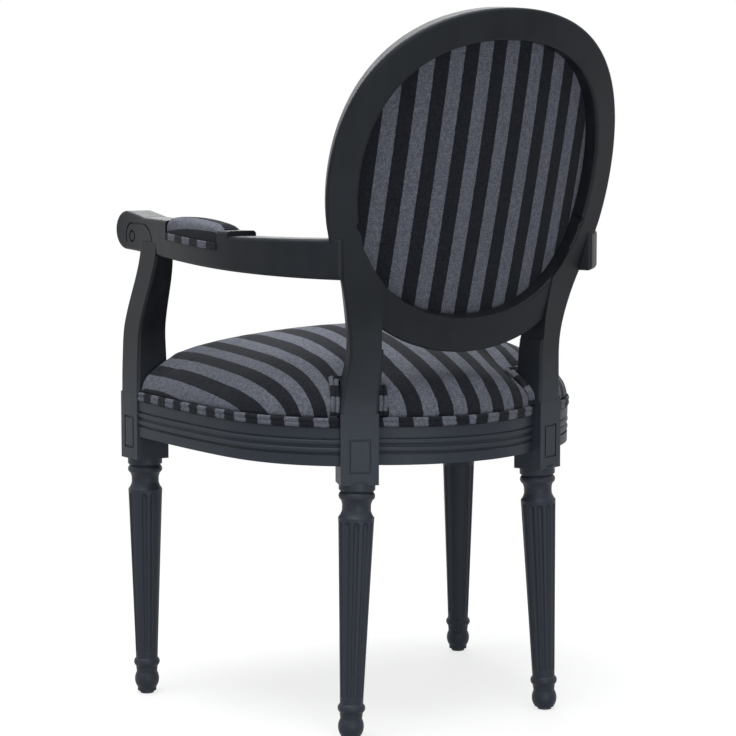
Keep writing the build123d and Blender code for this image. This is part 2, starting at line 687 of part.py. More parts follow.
def scroll_carving():
    """Eye and volute line cut into both sides of the scroll."""
    top = EYE_HEIGHT + VOLUTE_R
    bend = EYE_Y + VOLUTE_RUN
    volute = [
        CenterArc((EYE_Y, EYE_HEIGHT), VOLUTE_R, 90, 120),
        Line((EYE_Y, top), (bend, top)),
        JernArc((bend, top), (1, 0), VOLUTE_TAIL, -70),
    ]
    lines = [trace(edge, VOLUTE_GROOVE) for edge in volute]
    eye = Pos(EYE_Y, EYE_HEIGHT) * (Circle(EYE_R) - Circle(EYE_R - VOLUTE_GROOVE))
    core = arm_slab(SCROLL_DEPTH)
    return [side_bar(face) - core for face in [eye, *lines]]


# Upholstery of the seat

def seat_dome(shrink):
    """Domed seat: a skirt in the rails' rebate, sides swelling over the welt and an elliptical crown."""
    half_depth = (BACK_BOW_Y - FRONT_LEG_Y + FRONT_BOW) / 2
    edge = RAIL_TOP + SEAT_BULGE_RISE
    skirt = RAIL_REBATE - SOFT_GAP - FABRIC + shrink
    bulge = shrink - SEAT_BULGE
    sections = [seat_face(skirt, RAIL_FACE_TOP + SOFT_GAP), seat_face(skirt, RAIL_TOP)]
    for step in range(SEAT_CROWN_STEPS):
        turn = math.radians(SEAT_CROWN_SPAN * step / (SEAT_CROWN_STEPS - 1))
        inset = bulge + half_depth * (1 - math.cos(turn) ** SEAT_SLOPE)
        rise = math.sin(turn) ** SEAT_SHOULDER
        sections.append(seat_face(inset, edge + (SEAT_CROWN - shrink - edge) * rise))
    return loft(sections, ruled=True)


def seat_cover():
    """Fabric over the seat."""
    return seat_dome(0) - seat_dome(FABRIC)


def seat_foam():
    """Foam on the webbing, under the fabric."""
    floor = RAIL_TOP + 2 * WEB_THICKNESS + SOFT_GAP
    return seat_dome(FABRIC + SOFT_GAP) - seat_prism(0, RAIL_BOTTOM, floor)


def seat_webbing():
    """Webbing strips tacked across the top of the rails, the cross strips over the long ones."""
    span = 2 * FRONT_LEG_X
    strips = []
    for index in range(WEB_LONG_COUNT):
        x = (index - (WEB_LONG_COUNT - 1) / 2) * WEB_PITCH
        strip = Pos(x, 0, RAIL_TOP + WEB_THICKNESS / 2) * Box(WEB_WIDTH, span, WEB_THICKNESS)
        strips.append(strip & seat_prism(WEB_MARGIN, RAIL_TOP, RAIL_TOP + WEB_THICKNESS))
    upper = RAIL_TOP + WEB_THICKNESS
    for index in range(WEB_CROSS_COUNT):
        y = (index - (WEB_CROSS_COUNT - 1) / 2) * WEB_PITCH
        strip = Pos(0, y, upper + WEB_THICKNESS / 2) * Box(2 * span, WEB_WIDTH, WEB_THICKNESS)
        strips.append(strip & seat_prism(WEB_MARGIN, upper, upper + WEB_THICKNESS))
    return strips


def welt_outline():
    """Double welt on the fabric edge: a flat back and two round cords, one above the other."""
    back = -RAIL_REBATE + 2 * SOFT_GAP + FABRIC + SOFT_GAP
    front = back + WELT_DEPTH
    low = RAIL_FACE_TOP + SOFT_GAP
    middle = low + WELT_HEIGHT / 2
    high = low + WELT_HEIGHT
    return Curve() + [
        Polyline((front, high), (back, high), (back, low), (front, low)),
        ThreePointArc((front, low), (front + WELT_SWELL, (low + middle) / 2), (front, middle)),
        ThreePointArc((front, middle), (front + WELT_SWELL, (middle + high) / 2), (front, high)),
    ]


# Upholstery of the back

BACK_OUT = (0, math.cos(RECLINE), -math.sin(RECLINE))
BACK_FRAME = Plane(origin=(0, BACK_Y, BACK_Z), x_dir=(-1, 0, 0), z_dir=BACK_OUT)


def back_face(grow, depth):
    """Outline of the ring's opening where its radial walls cross a flat plane in front of the rear face."""
    points = []
    for angle in range(0, 360, BACK_OUTLINE_STEP):
        turn = math.radians(angle)
        radius = ring_radius(angle) + grow
        across = (BACK_BEND - depth) * math.tan(radius * math.cos(turn) / BACK_BEND)
        points.append((across, radius * math.sin(turn), -depth))
    return BACK_FRAME * make_face(Spline(*points, periodic=True))


def back_plug(grow):
    """Plug that fills the ring's opening and stands out on both sides."""
    reach = FRAME_DEPTH + 2 * BACK_CROWN
    return loft([back_face(grow, -FRAME_DEPTH), back_face(grow, reach)], ruled=True)


def bent_drum(depth):
    """Everything in front of a depth below the ring's bent rear face."""
    return BACK_FRAME * Pos(0, 0, -BACK_BEND) * Rot(90, 0, 0) * Cylinder(BACK_BEND - depth, 3 * BACK_RADIUS)


def crown_drum(shrink):
    """Everything behind the swelling front of the back pad."""
    radius = BACK_CROWN_RADIUS - shrink
    centre = BACK_CROWN_RADIUS - FRAME_DEPTH - BACK_CROWN
    return BACK_FRAME * Pos(0, 0, centre) * Rot(0, 90, 0) * Cylinder(radius, 3 * BACK_RADIUS)


def back_sheet(depth, thickness):
    """Thin bent sheet across the ring's opening."""
    return back_plug(-BACK_GAP) & (bent_drum(depth) - bent_drum(depth + thickness))


def back_pad(shrink, depth):
    """Swelling front pad of the back from a depth forwards, with a rounded rim."""
    pad = back_plug(-BACK_GAP - shrink) & bent_drum(depth) & crown_drum(shrink)
    rim = pad.faces().sort_by(Axis.Y)[0].outer_wire().edges()
    return fillet(rim, BACK_PAD_ROUND - shrink)


def back_welt():
    """Double welt round the front pad, on the front face of the ring, made in two halves."""
    def section(angle):
        half, deep, base = BACK_WELT_WIDTH / 2, -WELT_SWELL, BACK_WELT_DEPTH
        plane = ring_plane(angle, ring_radius(angle) + half, FRAME_DEPTH + BACK_GAP + base)
        return plane * make_face([
            Polyline((half, 0), (half, base), (-half, base), (-half, 0)),
            ThreePointArc((-half, 0), (-half / 2, deep), (0, 0)),
            ThreePointArc((0, 0), (half / 2, deep), (half, 0)),
        ])
    steps = BACK_WELT_STATIONS - 1
    left = loft([section(-90 + 180 * step / steps) for step in range(BACK_WELT_STATIONS)])
    return left + mirrored(left)


# Arm pads

def arm_pad(shrink):
    """Pad in the arm's recess, crowned along and across the arm, drawn in by a shrink."""
    front, rear = PAD_FRONT_Y + SOFT_GAP + shrink, PAD_REAR_Y - SOFT_GAP - shrink
    low_front, low_rear = PAD_SEAT_FRONT + SOFT_GAP, PAD_SEAT_REAR + SOFT_GAP
    crown = (low_front + low_rear) / 2 + ARM_PAD_HEIGHT
    middle = (PAD_FRONT_Y + PAD_REAR_Y) / 2 - ARM_PAD_FORWARD
    front_top = crown - shrink - (middle - front) ** 2 / (2 * ARM_PAD_ARCH)
    rear_top = crown - shrink - (rear - middle) ** 2 / (2 * ARM_PAD_ARCH)
    end = ARM_PAD_END
    block = side_bar(make_face(Polyline((front, low_front), (rear, low_rear), (rear, rear_top - end),
                                        (rear - 2 * end, rear_top + end), (front + 2 * end, front_top + end),
                                        (front, front_top - end), close=True)))
    top = Torus(ARM_PAD_ARCH - ARM_PAD_ROUND, ARM_PAD_ROUND - shrink)
    top = Pos(ARM_WIDEST_X - ARM_WIDTH / 2, middle, crown - ARM_PAD_ARCH) * Rot(0, 90, 0) * top
    return arm_slab(ARM_PAD_INSET + shrink) & block & top


def arm_pad_welt():
    """Welt strips along the lower edges of an arm pad, on both sides of the arm."""
    front, rear = PAD_FRONT_Y + SOFT_GAP, PAD_REAR_Y - SOFT_GAP
    low_front, low_rear = PAD_SEAT_FRONT + SOFT_GAP, PAD_SEAT_REAR + SOFT_GAP
    band = make_face(Polyline((front, low_front), (rear, low_rear), (rear, low_rear + ARM_WELT_HEIGHT),
                              (front, low_front + ARM_WELT_HEIGHT), close=True))
    return (arm_slab(-ARM_WELT_STAND) - arm_slab(ARM_PAD_INSET - SOFT_GAP)) & side_bar(band)


# Hidden joinery

def dowel(plane, diameter, length):
    """Dowel centred on the joint plane and lying along its Z axis."""
    return plane * Cylinder(diameter / 2, length)


def bore(plane, diameter, length):
    """Hole for a dowel."""
    return plane * Cylinder(diameter / 2 + BORE_GAP, length + 2 * BORE_END)


def rail_joints():
    """Joint planes of the left-hand rail dowels, before the seat's fall."""
    half = FRONT_BLOCK / 2
    middle = RAIL_REVEAL + RAIL_THICKNESS / 2
    turn = math.radians(REAR_TURN)
    outwards = Vector(math.cos(turn), -math.sin(turn), 0)
    side_end = rear_place(REAR_BLOCK_WIDTH / 2, SIDE_END_BACK - RAIL_THICKNESS / 2)
    back_end = rear_place(-REAR_BLOCK_WIDTH / 2, BACK_END_BACK - BACK_DOWEL_FORWARD)
    planes = []
    for level in range(2):
        z = RAIL_BOTTOM + RAIL_DOWEL_LOW + level * RAIL_DOWEL_PITCH
        planes += [
            Plane(origin=(FRONT_LEG_X + half - middle, FRONT_LEG_Y + half, z), z_dir=(0, 1, 0)),
            Plane(origin=(FRONT_LEG_X - half, FRONT_LEG_Y - half + middle, z), z_dir=(-1, 0, 0)),
            Plane(origin=(*side_end, z), z_dir=outwards),
            Plane(origin=(*back_end, z), z_dir=-outwards),
        ]
    return planes


def crest_joints():
    """Joint planes of the dowels between the left upright and the crest."""
    plane = ring_plane(CREST_JOINT, ring_radius(CREST_JOINT) + FRAME_WIDTH / 2, FRAME_DEPTH / 2)
    return [plane * Pos(side * FRAME_DOWEL_PITCH / 2, 0, 0) for side in (-1, 1)]


def lower_joints():
    """Joint planes of the dowels between the left upright and the lower back rail."""
    places = []
    for side in (-1, 1):
        climb = LOWER_DOWEL_RISE + side * FRAME_DOWEL_PITCH / 2
        places.append(lower_joint_plane() * Pos(0, climb * math.tan(RECLINE), climb) * Rot(0, 90, 0))
    return places


def arm_joint():
    """Joint plane of the dowel between the left upright and the arm."""
    wall = ring_plane(ARM_JOINT_ANGLE, ring_radius(ARM_JOINT_ANGLE) + FRAME_WIDTH, FRAME_DEPTH / 2)
    return Plane(origin=wall.origin, z_dir=arm_curve(ARM_WIDTH / 2) % 0)


def post_joints():
    """Joint planes of the dowels at the foot and at the head of the left arm post."""
    head = post_place(ARM_UNDER_FRONT)
    share = (head - SCROLL_Y) / (ARM_REAR_Y - SCROLL_Y)
    under = ARM_UNDER_FRONT + (ARM_UNDER_REAR - ARM_UNDER_FRONT) * share
    return [Plane(origin=(FRONT_LEG_X, FRONT_LEG_Y, BLOCK_TOP)), Plane(origin=(FRONT_LEG_X, head, under))]


def corner_low_high():
    """Heights of the corner blocks."""
    low = RAIL_BOTTOM + CORNER_BLOCK_RISE
    return low, low + CORNER_BLOCK_HEIGHT


def corner_front():
    """Corner block behind a front leg, before the rails and the leg are cut out of it."""
    low, high = corner_low_high()
    right = FRONT_LEG_X + FRONT_BLOCK / 4
    front = FRONT_LEG_Y - FRONT_BLOCK / 4
    points = [(right - CORNER_BLOCK_REACH, front), (right, front), (right, front + CORNER_BLOCK_REACH)]
    return extrude(Pos(0, 0, low) * make_face(Polyline(*points, close=True)), high - low, dir=UP)


def corner_rear():
    """Corner block in front of a rear leg, before the rails and the leg are cut out of it."""
    low, high = corner_low_high()
    depth = REAR_CORNER_DEPTH + REAR_BLOCK_DEPTH / 2
    bar = Box(REAR_CORNER_WIDTH, depth, high - low, align=(Align.CENTER, Align.MAX, Align.MIN))
    return REAR_FRAME * Pos(0, -REAR_BLOCK_DEPTH / 4, low) * bar


def screw_places():
    """Where the left-hand corner screws start on their blocks, pointing into the legs."""
    low, high = corner_low_high()
    middle = CORNER_BLOCK_REACH / 2 - FRONT_BLOCK / 4
    start = (FRONT_LEG_X - middle, FRONT_LEG_Y + middle, (low + high) / 2)
    turn = math.radians(REAR_TURN)
    rear = rear_place(0, -REAR_BLOCK_DEPTH * 3 / 4 - REAR_CORNER_DEPTH)
    return [Plane(origin=start, z_dir=(1, -1, 0)),
            Plane(origin=(*rear, (low + high) / 2), z_dir=(math.sin(turn), math.cos(turn), 0))]


def screw(place):
    """Corner screw with its head on the block."""
    shank = Cylinder(SCREW_D / 2, SCREW_LENGTH, align=(Align.CENTER, Align.CENTER, Align.MIN))
    head = Cylinder(SCREW_HEAD_D / 2, SCREW_HEAD_HEIGHT, align=(Align.CENTER, Align.CENTER, Align.MAX))
    return place * (shank + head)


def screw_bore(place):
    """Hole for a corner screw, through its block and into the leg."""
    return place * Cylinder(SCREW_D / 2 + BORE_GAP, SCREW_LENGTH + BORE_END,
                            align=(Align.CENTER, Align.CENTER, Align.MIN))


def frame_pieces():
    """Wooden frame with its fixings."""
    rail_bores = [tilted(bore(plane, RAIL_DOWEL_D, RAIL_DOWEL_LENGTH)) for plane in rail_joints()]
    rail_dowels = [tilted(dowel(plane, RAIL_DOWEL_D, RAIL_DOWEL_LENGTH)) for plane in rail_joints()]
    crest_bores = [bore(plane, FRAME_DOWEL_D, FRAME_DOWEL_LENGTH) for plane in crest_joints()]
    lower_bores = [bore(plane, FRAME_DOWEL_D, FRAME_DOWEL_LENGTH) for plane in lower_joints()]
    post_bores = [bore(plane, POST_DOWEL_D, POST_DOWEL_LENGTH) for plane in post_joints()]
    arm_bore = bore(arm_joint(), ARM_DOWEL_D, ARM_DOWEL_LENGTH)
    screws = [tilted(screw(place)) for place in screw_places()]
    screw_bores = [tilted(screw_bore(place)) for place in screw_places()]
    front, side, back = rail_blanks()
    front_stops = both(front_block(JOINT_GAP, 2 * RAIL_TOP - RAIL_BOTTOM))
    rear_stops = both(rear_block(JOINT_GAP, 2 * RAIL_TOP - RAIL_BOTTOM))
    both_bores = [copy for tool in rail_bores for copy in both(tool)]
    corner_tools = [tilted(along(path, corner_cut_outline())) for path in rail_paths()]
    corner_tools += [front_block(JOINT_GAP), rear_block(JOINT_GAP)] + screw_bores
    arm = arm_body() - upright(JOINT_GAP) - scroll_carving() - [arm_bore, post_bores[1]]

    left = {
        "front_leg": front_leg() - rail_bores - [post_bores[0], screw_bores[0]],
        "rear_leg": rear_leg() - rail_bores - crest_bores - lower_bores - [arm_bore, screw_bores[1]],
        "side_rail": side - front_stops - rear_stops - rail_bores,
        "arm_post": arm_post() - arm_blank(JOINT_GAP) - post_bores,
        "arm": arm,
        "corner_block_front": tilted(corner_front()) - corner_tools,
        "corner_block_rear": tilted(corner_rear()) - corner_tools,
    }
    pieces = {}
    for name, piece in left.items():
        pieces[name + "_left"] = [piece]
        pieces[name + "_right"] = [mirrored(piece)]
    pieces["front_rail"] = [front - front_stops - both_bores]
    pieces["back_rail"] = [back - rear_stops - both_bores]
    pieces["crest_rail"] = [crest_rail() - [copy for tool in crest_bores for copy in both(tool)]]
    pieces["lower_back_rail"] = [lower_back_rail() - [copy for tool in lower_bores for copy in both(tool)]]
    groups = {
        "rail_dowels": rail_dowels,
        "crest_dowels": [dowel(plane, FRAME_DOWEL_D, FRAME_DOWEL_LENGTH) for plane in crest_joints()],
        "lower_rail_dowels": [dowel(plane, FRAME_DOWEL_D, FRAME_DOWEL_LENGTH) for plane in lower_joints()],
        "post_dowels": [dowel(plane, POST_DOWEL_D, POST_DOWEL_LENGTH) for plane in post_joints()],
        "arm_dowels": [dowel(arm_joint(), ARM_DOWEL_D, ARM_DOWEL_LENGTH)],
        "corner_screws": screws,
        "foot_glides": [FRONT_FOOT * glide(), REAR_FOOT * glide()],
    }
    for name, solids in groups.items():
        pieces[name] = [copy for solid in solids for copy in both(solid)]
    return pieces


def upholstery_pieces():
    """Padding, fabric and welts."""
    notches = seat_notches(SOFT_GAP)
    stops = both(front_block(SOFT_GAP, SEAT_CROWN)) + both(rear_block(SOFT_GAP, RAIL_TOP))
    front, side, back = rail_paths()
    welts = [along(path, welt_outline()) for path in (front, side, back)]
    welts.append(mirrored(welts[1]))
    panel_depth = PANEL_RECESS + FABRIC + PANEL_TO_LINER
    foam_depth = panel_depth + LINER_THICKNESS + SOFT_GAP
    pieces = {
        "seat_cover": [tilted(seat_cover()) - notches],
        "seat_foam": [tilted(seat_foam()) - seat_notches(SOFT_GAP + FABRIC)],
        "seat_welt": [tilted(welt) - notches - stops for welt in welts],
        "seat_webbing": [tilted(strip) - stops for strip in seat_webbing()],
        "dust_cover": [tilted(seat_prism(DUST_MARGIN, RAIL_BOTTOM - DUST_COVER, RAIL_BOTTOM)) - stops],
        "back_panel": [back_sheet(PANEL_RECESS, FABRIC)],
        "back_liner": [back_sheet(panel_depth, LINER_THICKNESS)],
        "back_foam": [back_pad(FABRIC + SOFT_GAP, foam_depth)],
        "back_cover": [back_pad(0, FRAME_DEPTH - COVER_TUCK) - back_pad(FABRIC, PANEL_RECESS)],
        "back_welt": [back_welt()],
    }
    pads = {
        "arm_pad_foam": arm_pad(FABRIC + SOFT_GAP),
        "arm_pad_cover": arm_pad(0) - arm_pad(FABRIC),
        "arm_pad_welt": arm_pad_welt(),
    }
    for name, piece in pads.items():
        pieces[name + "_left"] = [piece]
        pieces[name + "_right"] = [mirrored(piece)]
    return pieces


def write(pieces):
    """Centre the chair on its footprint, stand it on the floor and write one file for each piece."""
    os.makedirs("parts", exist_ok=True)
    whole = {name: Compound(children=[solid for shape in shapes for solid in shape.solids()])
             for name, shapes in pieces.items()}
    boxes = [shape.bounding_box() for shape in whole.values()]
    middle = (min(box.min.Y for box in boxes) + max(box.max.Y for box in boxes)) / 2
    floor = min(box.min.Z for box in boxes)
    for name, shape in whole.items():
        placed = Pos(0, -middle, -floor) * shape
        export_step(placed, f"parts/{name}.step")
        print(name, len(placed.solids()), round(placed.volume), placed.is_valid)
    print("moved back by", round(middle, 3), "and up by", round(-floor, 3))


write({**frame_pieces(), **upholstery_pieces()})
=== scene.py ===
import json
import math

import bmesh
import bpy
import numpy as np
from mathutils import Matrix, Vector
from mathutils.bvhtree import BVHTree


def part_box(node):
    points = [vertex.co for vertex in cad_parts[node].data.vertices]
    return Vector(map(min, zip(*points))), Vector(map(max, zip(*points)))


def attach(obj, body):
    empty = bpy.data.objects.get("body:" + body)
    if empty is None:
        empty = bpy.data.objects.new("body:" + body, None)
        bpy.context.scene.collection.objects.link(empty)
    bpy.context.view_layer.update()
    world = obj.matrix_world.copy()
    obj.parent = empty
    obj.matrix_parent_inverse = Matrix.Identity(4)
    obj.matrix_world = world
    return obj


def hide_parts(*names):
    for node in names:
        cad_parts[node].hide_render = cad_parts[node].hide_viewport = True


# Dining armchair, in metres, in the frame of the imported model. Front is -Y, the sitter's left is +X.

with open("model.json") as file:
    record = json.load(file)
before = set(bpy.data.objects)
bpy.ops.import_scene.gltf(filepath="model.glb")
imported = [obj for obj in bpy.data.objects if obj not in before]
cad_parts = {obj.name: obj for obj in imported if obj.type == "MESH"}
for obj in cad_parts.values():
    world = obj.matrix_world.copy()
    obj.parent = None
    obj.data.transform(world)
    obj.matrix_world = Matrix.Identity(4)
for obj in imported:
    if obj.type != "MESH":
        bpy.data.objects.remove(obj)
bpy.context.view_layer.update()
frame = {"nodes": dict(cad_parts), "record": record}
nodes = frame["nodes"]

# Where the solids stand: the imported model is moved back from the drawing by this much
SHIFT_Y = -0.036808

# Back ring
RING_Y = 0.286 + SHIFT_Y
RING_Z = 0.758
RECLINE = math.radians(14.5)
BEND = 0.674
RING_RADIUS = 0.196
SQUARENESS = 0.0185
PANEL_RECESS = 0.020
PANEL_PUFF = 0.0045
PANEL_CLOTH = 0.0014
PANEL_TUCK = 0.0002
PANEL_CELLS = 84

# Back pad: width of its rim, and the depths up to which the pad and its rim are held still
BACK_RIM = 0.010
BACK_HELD = 0.036
BACK_RIM_HELD = 0.040

# Cloth: repeat of the stripes, where a grey one lies on each piece, and the repeat along the welts
STRIPE = 0.04355
BACK_STRIPE_AT = 0.0261
SEAT_STRIPE_AT = 0.017
PAD_STRIPE_AT = 0.018
EDGE_DASH = 0.0408
EDGE_DASH_AT = 0.0085
REAR_DASH_AT = -0.0062
ARM_DASH = 0.0485
ARM_DASH_AT = -0.0245
WEAVE = 0.0019

# Arm pads: stretch that fills the recess, how far their middle lies from the chair's middle, how far
# below the top the cloth turns down the sides, and the normal's height below which a point is held
PAD_FILL = 1.12
PAD_MIDDLE = 0.276
PAD_DOME = 0.008
PAD_UNDERSIDE = -0.5

# Seat: fall to the back, half width and half depth in plan, and heights before the fall: crown, lip,
# underside and its slack, top of the part held still, band of the edge, and middle of the welt
SEAT_FALL = math.tan(math.radians(1.3))
SEAT_HALF = (0.301, 0.246)
SEAT_CROWN = 0.549
SEAT_LIP = 0.444
SEAT_UNDER = 0.4505
SEAT_UNDER_SLACK = 0.0004
SEAT_HELD = 0.4495
SEAT_EDGE = (0.452, 0.462)
SEAT_WELT = 0.439

# Seat cloth: width of the rim that is drawn down, how far below the crown the cloth turns down the
# sides, how much of that drop the stripes follow, and how far the welt's lower cord is set off
SEAT_TURNED = 0.009
SEAT_DOME = 0.028
SEAT_WRAP = 0.57
CORD_SLIP = 0.001

# Cloth simulation: pressure, frames, and how far a point of each piece may move
PRESSURE = 4.0
SWELL_FRAMES = 16
BACK_SWELL = 0.0022
SEAT_SWELL = 0.0030
PAD_SWELL = 0.0019

# Sizes of the squares that skin each soft piece
BACK_VOXEL = 0.005
SEAT_VOXEL = 0.004
PAD_VOXEL = 0.003
WELT_VOXEL = 0.0013
ARM_WELT_VOXEL = 0.0008

# Steps in which an outline is measured: half way round a welt, and all the way round the seat
WELT_BINS = 180
RIM_BINS = 240

# Cloth under the seat: half width and half depth, cuts on each side of the middle, and sag
UNDER_HALF = (0.30, 0.25)
UNDER_CUTS = 7
LINING_SAG = 0.003

# Uprights on the rear blocks: middle at the seat's edge, turn in plan, half width and depth,
# and how they lean with height
UPRIGHT_AT = (0.150, 0.187 + SHIFT_Y)
UPRIGHT_TURN = math.radians(22)
UPRIGHT_HALF = (0.02625, 0.022)
UPRIGHT_LEAN = (-0.05, 0.11)

# Cords round the uprights: radius, how far out the cushion's skin is followed, height over it,
# points on each side, marks for the dashes, and where the first grey dash lies from the foot
NOTCH_CORD = 0.0033
NOTCH_CLEAR = 0.014
NOTCH_LIFT = 0.002
NOTCH_STEPS = 20
NOTCH_MARKS = 400
NOTCH_DASH_AT = 0.016

# Camera: place, turn, tilt, focal length and sensor width
CAMERA_AT = (1.893, 3.024 + SHIFT_Y, 0.845)
CAMERA_TURN = math.radians(148.18)
CAMERA_TILT = math.radians(84.21)
CAMERA_LENS = 121.26
CAMERA_SENSOR = 36.0

# Floor: how much of it glows under the chair, and the distances between which it turns all white
FLOOR_GLOW = 0.72
FLOOR_FADE = (0.4, 2.0)

# Lamps: name, place, target, width and power
LAMPS = [
    ("key", (0.9, 3.7, 0.42), (0, 0, 0.35), 1.4, 56),
    ("top", (0.5, 0.4, 3.2), (0, 0, 0.5), 2.4, 136),
    ("side", (3.4, -0.6, 2.0), (0, 0, 0.5), 1.8, 14),
    ("front", (-1.6, -3.0, 2.4), (0, 0, 0.5), 2.4, 50),
]


# Camera and stage

def place_camera():
    """Camera behind the chair on the sitter's left, as in the photograph."""
    data = bpy.data.cameras.new("camera")
    data.sensor_width = CAMERA_SENSOR
    data.lens = CAMERA_LENS
    camera = bpy.data.objects.new("camera", data)
    turn = Matrix.Rotation(CAMERA_TURN, 4, "Z") @ Matrix.Rotation(CAMERA_TILT, 4, "X")
    camera.matrix_world = Matrix.Translation(CAMERA_AT) @ turn
    bpy.context.scene.collection.objects.link(camera)
    bpy.context.scene.camera = camera


def add_lamp(name, place, target, size, power):
    """Soft square lamp turned towards a point."""
    data = bpy.data.lights.new(name, "AREA")
    data.size = size
    data.energy = power
    lamp = bpy.data.objects.new(name, data)
    lamp.location = place
    lamp.rotation_euler = (Vector(target) - Vector(place)).to_track_quat("-Z", "Y").to_euler()
    bpy.context.scene.collection.objects.link(lamp)


def light_stage():
    """Pale floor, white surroundings and soft studio lamps."""
    scene = bpy.context.scene
    scene.view_settings.view_transform = "Standard"
    world = bpy.data.worlds.new("studio")
    scene.world = world
    world.use_nodes = True
    tree = world.node_tree
    tree.nodes.clear()
    path = tree.nodes.new("ShaderNodeLightPath")
    white = tree.nodes.new("ShaderNodeBackground")
    white.inputs["Color"].default_value = (1, 1, 1, 1)
    fill = tree.nodes.new("ShaderNodeBackground")
    fill.inputs["Color"].default_value = (0.90, 0.95, 1, 1)
    fill.inputs["Strength"].default_value = 0.34
    out = tree.nodes.new("ShaderNodeOutputWorld")
    shown = fill.outputs[0]
    for kind in ("Is Camera Ray", "Is Glossy Ray", "Is Transmission Ray"):
        mix = tree.nodes.new("ShaderNodeMixShader")
        tree.links.new(path.outputs[kind], mix.inputs[0])
        tree.links.new(shown, mix.inputs[1])
        tree.links.new(white.outputs[0], mix.inputs[2])
        shown = mix.outputs[0]
    tree.links.new(shown, out.inputs[0])
    for name, place, target, size, power in LAMPS:
        add_lamp(name, place, target, size, power)

    bm = bmesh.new()
    bmesh.ops.create_grid(bm, x_segments=1, y_segments=1, size=30)
    floor = settle(bm, "floor")
    finish = Finish("floor_paper")
    finish.paint({"Base Color": (0.93, 0.93, 0.93, 1), "Roughness": 0.9})
    paper = Value(finish, finish.skin.outputs[0])
    dull = finish.node("ShaderNodeBsdfDiffuse", inputs={"Color": (0.45, 0.45, 0.46, 1)})
    glow = finish.node("ShaderNodeEmission", inputs={"Color": (1, 1, 1, 1), "Strength": 1.0})
    here = finish.node("ShaderNodeTexCoord", output="Object")
    away = finish.node("ShaderNodeVectorMath", {"operation": "LENGTH"}, {0: here}, output="Value")
    share = FLOOR_GLOW + away.ramp(*FLOOR_FADE) * (1 - FLOOR_GLOW)
    bright = finish.node("ShaderNodeMixShader", inputs={0: share, 1: paper, 2: glow})
    seen = sum(finish.node("ShaderNodeLightPath", output=kind)
               for kind in ("Is Camera Ray", "Is Glossy Ray", "Is Transmission Ray"))
    shade = finish.node("ShaderNodeMixShader", inputs={0: seen, 1: dull, 2: bright})
    finish.tree.links.new(shade.socket, finish.output.inputs["Surface"])
    floor.data.materials.append(finish.material)


# Shader sums

class Value:
    """A socket of a finish that can be reckoned with like a number."""

    def __init__(self, finish, socket):
        self.finish = finish
        self.socket = socket

    def reckon(self, operation, first, second=0.0):
        return self.finish.node("ShaderNodeMath", {"operation": operation}, {0: first, 1: second})

    def __add__(self, other):
        return self.reckon("ADD", self, other)

    __radd__ = __add__

    def __sub__(self, other):
        return self.reckon("SUBTRACT", self, other)

    def __rsub__(self, other):
        return self.reckon("SUBTRACT", other, self)

    def __mul__(self, other):
        return self.reckon("MULTIPLY", self, other)

    __rmul__ = __mul__

    def __abs__(self):
        return self.reckon("ABSOLUTE", self)

    def part(self):
        """The part after the whole number."""
        return self.reckon("FRACT", self)

    def wave(self, length):
        """A sine with that wavelength."""
        return self.reckon("SINE", self * (2 * math.pi / length))

    def ramp(self, low, high):
        """0 below low and 1 above high, smooth in between."""
        return self.finish.node("ShaderNodeMapRange", {"interpolation_type": "SMOOTHSTEP"},
                                {"Value": self, "From Min": low, "From Max": high})


class Finish:
    """A material in the making."""

    def __init__(self, name):
        self.material = bpy.data.materials.new(name)
        self.material.use_nodes = True
        self.tree = self.material.node_tree
        self.skin = self.tree.nodes["Principled BSDF"]
        self.output = self.tree.nodes["Material Output"]

    def feed(self, socket, value):
        if isinstance(value, Value):
            self.tree.links.new(value.socket, socket)
        else:
            socket.default_value = value

    def node(self, kind, settings=None, inputs=None, output=0):
        made = self.tree.nodes.new(kind)
        for key, value in (settings or {}).items():
            setattr(made, key, value)
        for key, value in (inputs or {}).items():
            self.feed(made.inputs[key], value)
        return Value(self, made.outputs[output])

    def paint(self, sockets):
        for key, value in sockets.items():
            self.feed(self.skin.inputs[key], value)
        return self.material

    def place(self, stretch=(1, 1, 1)):
        """Object coordinates, stretched."""
        here = self.node("ShaderNodeTexCoord", output="Object")
        return self.node("ShaderNodeMapping", inputs={"Vector": here, "Scale": stretch})

    def noise(self, scale, detail=2.0, stretch=(1, 1, 1)):
        sockets = {"Vector": self.place(stretch), "Scale": scale, "Detail": detail}
        return self.node("ShaderNodeTexNoise", inputs=sockets)

    def mix(self, share, first, second):
        """Colour between two, through the colour sockets of a Mix node."""
        return self.node("ShaderNodeMix", {"data_type": "RGBA"}, {0: share, 6: first, 7: second}, output=2)

    def attribute(self, name):
        return self.node("ShaderNodeAttribute", {"attribute_name": name}, output="Fac")

    def bump(self, height, strength, distance):
        sockets = {"Height": height, "Strength": strength, "Distance": distance}
        return self.node("ShaderNodeBump", inputs=sockets)


# Finishes

